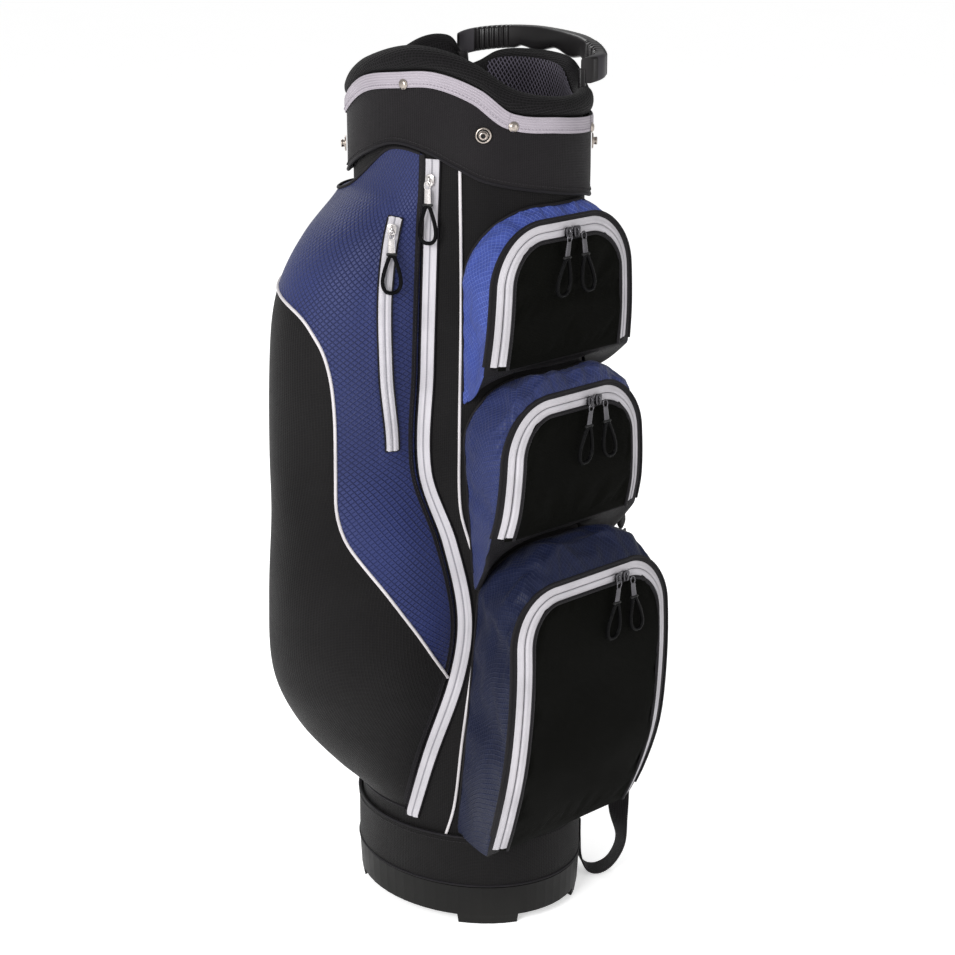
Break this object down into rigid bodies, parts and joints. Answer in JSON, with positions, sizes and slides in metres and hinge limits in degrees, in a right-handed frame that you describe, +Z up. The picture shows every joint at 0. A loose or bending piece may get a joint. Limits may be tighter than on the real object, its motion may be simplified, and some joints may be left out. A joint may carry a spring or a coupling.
{
  "type": "golf cart bag",
  "caption": "Golf cart bag: oval club tube on a moulded base, divided top with padded rim, side handle, zipped side pockets, fold-down front pockets and shoulder strap.",
  "frame": {"origin": "middle of the bag's outer box, on the floor", "axes": "+Z up, the front pockets face -Y, the carry handle and shoulder strap are on the +X side"},
  "size_m": [0.4278, 0.3172, 0.8831],
  "materials": {
    "black_ripstop": "woven, matt",
    "blue_ripstop": "woven, slight sheen",
    "air_mesh": "spacer mesh over foam",
    "white_webbing": "woven, satin",
    "zip_tape": "woven tape with a nylon coil",
    "base_plastic": "fine grain",
    "handle_plastic": "moulded, semi-gloss",
    "lining": "brushed lining",
    "nickel": "plated",
    "rod_steel": "drawn",
    "zip_slider": "die-cast, dark",
    "pull_cord": "round cord",
    "strap_webbing": "woven webbing"
  },
  "bodies": {
    "bag": {"base_cuff": "black_ripstop", "base_moulding": "base_plastic", "carry_handle": "handle_plastic", "collar": "black_ripstop", "cooler_gusset": "blue_ripstop", "cooler_zip": "zip_tape", "divider_back": "lining", "divider_front": "lining", "divider_spine": "lining", "garment_pocket_left": "blue_ripstop", "garment_pocket_right": "blue_ripstop", "garment_zip_left": "zip_tape", "garment_zip_right": "zip_tape", "hood_stud_1": "nickel", "hood_stud_2": "nickel", "hood_stud_3": "nickel", "hood_stud_4": "nickel", "mid_gusset": "blue_ripstop", "mid_zip": "zip_tape", "rim_pad": "air_mesh", "stay_rod_left": "rod_steel", "stay_rod_right": "rod_steel", "strap_d_ring": "nickel", "strap_lower_webbing": "strap_webbing", "strap_pad": "black_ripstop", "strap_upper_webbing": "strap_webbing", "top_gusset": "blue_ripstop", "top_ring": "handle_plastic", "top_zip": "zip_tape", "trim_band": "white_webbing", "trim_rivet_1": "nickel", "trim_rivet_2": "nickel", "trim_rivet_3": "nickel", "trim_rivet_4": "nickel", "trim_rivet_5": "nickel", "trim_rivet_6": "nickel", "tube_cover": "black_ripstop", "tube_liner": "lining", "valuables_zip_left": "zip_tape"},
    "top_flap": {"top_flap": "black_ripstop"},
    "top_slider_left": {"top_slider_left": "zip_slider"},
    "top_pull_left": {"top_pull_left": "pull_cord"},
    "top_slider_right": {"top_slider_right": "zip_slider"},
    "top_pull_right": {"top_pull_right": "pull_cord"},
    "mid_flap": {"mid_flap": "black_ripstop"},
    "mid_slider_left": {"mid_slider_left": "zip_slider"},
    "mid_pull_left": {"mid_pull_left": "pull_cord"},
    "mid_slider_right": {"mid_slider_right": "zip_slider"},
    "mid_pull_right": {"mid_pull_right": "pull_cord"},
    "cooler_flap": {"cooler_flap": "black_ripstop"},
    "cooler_slider_left": {"cooler_slider_left": "zip_slider"},
    "cooler_pull_left": {"cooler_pull_left": "pull_cord"},
    "cooler_slider_right": {"cooler_slider_right": "zip_slider"},
    "cooler_pull_right": {"cooler_pull_right": "pull_cord"},
    "garment_slider_left": {"garment_slider_left": "zip_slider"},
    "garment_pull_left": {"garment_pull_left": "pull_cord"},
    "garment_slider_right": {"garment_slider_right": "zip_slider"},
    "garment_pull_right": {"garment_pull_right": "pull_cord"},
    "valuables_slider_left": {"valuables_slider_left": "zip_slider"},
    "valuables_pull_left": {"valuables_pull_left": "pull_cord"}
  },
  "joints": [
    {"name": "top_flap_hinge", "type": "hinge", "parent": "bag", "child": "top_flap", "pos_m": [0, -0.10334, 0.592], "axis": [1, 0, 0], "range_deg": [0, 80]},
    {"name": "top_slider_left_slide", "type": "slide", "parent": "top_flap", "child": "top_slider_left", "axis": [-1, 0, 0], "range_m": [0, 0.026]},
    {"name": "top_pull_left_swing", "type": "hinge", "parent": "top_slider_left", "child": "top_pull_left", "pos_m": [-0.007, -0.11501, 0.7128], "axis": [-1, 0, 0], "range_deg": [0, 110]},
    {"name": "top_slider_right_slide", "type": "slide", "parent": "top_flap", "child": "top_slider_right", "axis": [1, 0, 0], "range_m": [0, 0.022]},
    {"name": "top_pull_right_swing", "type": "hinge", "parent": "top_slider_right", "child": "top_pull_right", "pos_m": [0.011, -0.11501, 0.7128], "axis": [-1, 0, 0], "range_deg": [0, 110]},
    {"name": "mid_flap_hinge", "type": "hinge", "parent": "bag", "child": "mid_flap", "pos_m": [0, -0.11521, 0.4285], "axis": [1, 0, 0], "range_deg": [0, 80]},
    {"name": "mid_slider_left_slide", "type": "slide", "parent": "mid_flap", "child": "mid_slider_left", "axis": [-1, 0, 0], "range_m": [0, 0.044]},
    {"name": "mid_pull_left_swing", "type": "hinge", "parent": "mid_slider_left", "child": "mid_pull_left", "pos_m": [0.009, -0.13118, 0.5503], "axis": [-1, 0, 0], "range_deg": [0, 110]},
    {"name": "mid_slider_right_slide", "type": "slide", "parent": "mid_flap", "child": "mid_slider_right", "axis": [1, 0, 0], "range_m": [0, 0.01]},
    {"name": "mid_pull_right_swing", "type": "hinge", "parent": "mid_slider_right", "child": "mid_pull_right", "pos_m": [0.027, -0.13118, 0.5503], "axis": [-1, 0, 0], "range_deg": [0, 110]},
    {"name": "cooler_flap_hinge", "type": "hinge", "parent": "bag", "child": "cooler_flap", "pos_m": [0, -0.11476, 0.107], "axis": [1, 0, 0], "range_deg": [0, 80]},
    {"name": "cooler_slider_left_slide", "type": "slide", "parent": "cooler_flap", "child": "cooler_slider_left", "axis": [-1, 0, 0], "range_m": [0, 0.074]},
    {"name": "cooler_pull_left_swing", "type": "hinge", "parent": "cooler_slider_left", "child": "cooler_pull_left", "pos_m": [0.025, -0.15702, 0.3738], "axis": [-1, 0, 0], "range_deg": [0, 110]},
    {"name": "cooler_slider_right_slide", "type": "slide", "parent": "cooler_flap", "child": "cooler_slider_right", "axis": [1, 0, 0], "range_m": [0, 0.008]},
    {"name": "cooler_pull_right_swing", "type": "hinge", "parent": "cooler_slider_right", "child": "cooler_pull_right", "pos_m": [0.043, -0.15702, 0.3738], "axis": [-1, 0, 0], "range_deg": [0, 110]},
    {"name": "garment_slider_left_slide", "type": "slide", "parent": "bag", "child": "garment_slider_left", "axis": [-0.0123, 0.0368, -0.9992], "range_m": [0, 0.22]},
    {"name": "garment_pull_left_swing", "type": "hinge", "parent": "garment_slider_left", "child": "garment_pull_left", "pos_m": [-0.10354, -0.02487, 0.76226], "axis": [-0.3543, 0.9351, 0], "range_deg": [0, 110]},
    {"name": "garment_slider_right_slide", "type": "slide", "parent": "bag", "child": "garment_slider_right", "axis": [0.0122, 0.037, -0.9992], "range_m": [0, 0.19]},
    {"name": "garment_pull_right_swing", "type": "hinge", "parent": "garment_slider_right", "child": "garment_pull_right", "pos_m": [0.10396, -0.02376, 0.73241], "axis": [-0.3466, -0.938, 0], "range_deg": [0, 110]},
    {"name": "valuables_slider_left_slide", "type": "slide", "parent": "bag", "child": "valuables_slider_left", "axis": [-0.2325, -0.0541, -0.9711], "range_m": [0, 0.04]},
    {"name": "valuables_pull_left_swing", "type": "hinge", "parent": "valuables_slider_left", "child": "valuables_pull_left", "pos_m": [-0.12932, -0.00338, 0.71652], "axis": [-0.6752, 0.7376, 0], "range_deg": [0, 110]}
  ]
}
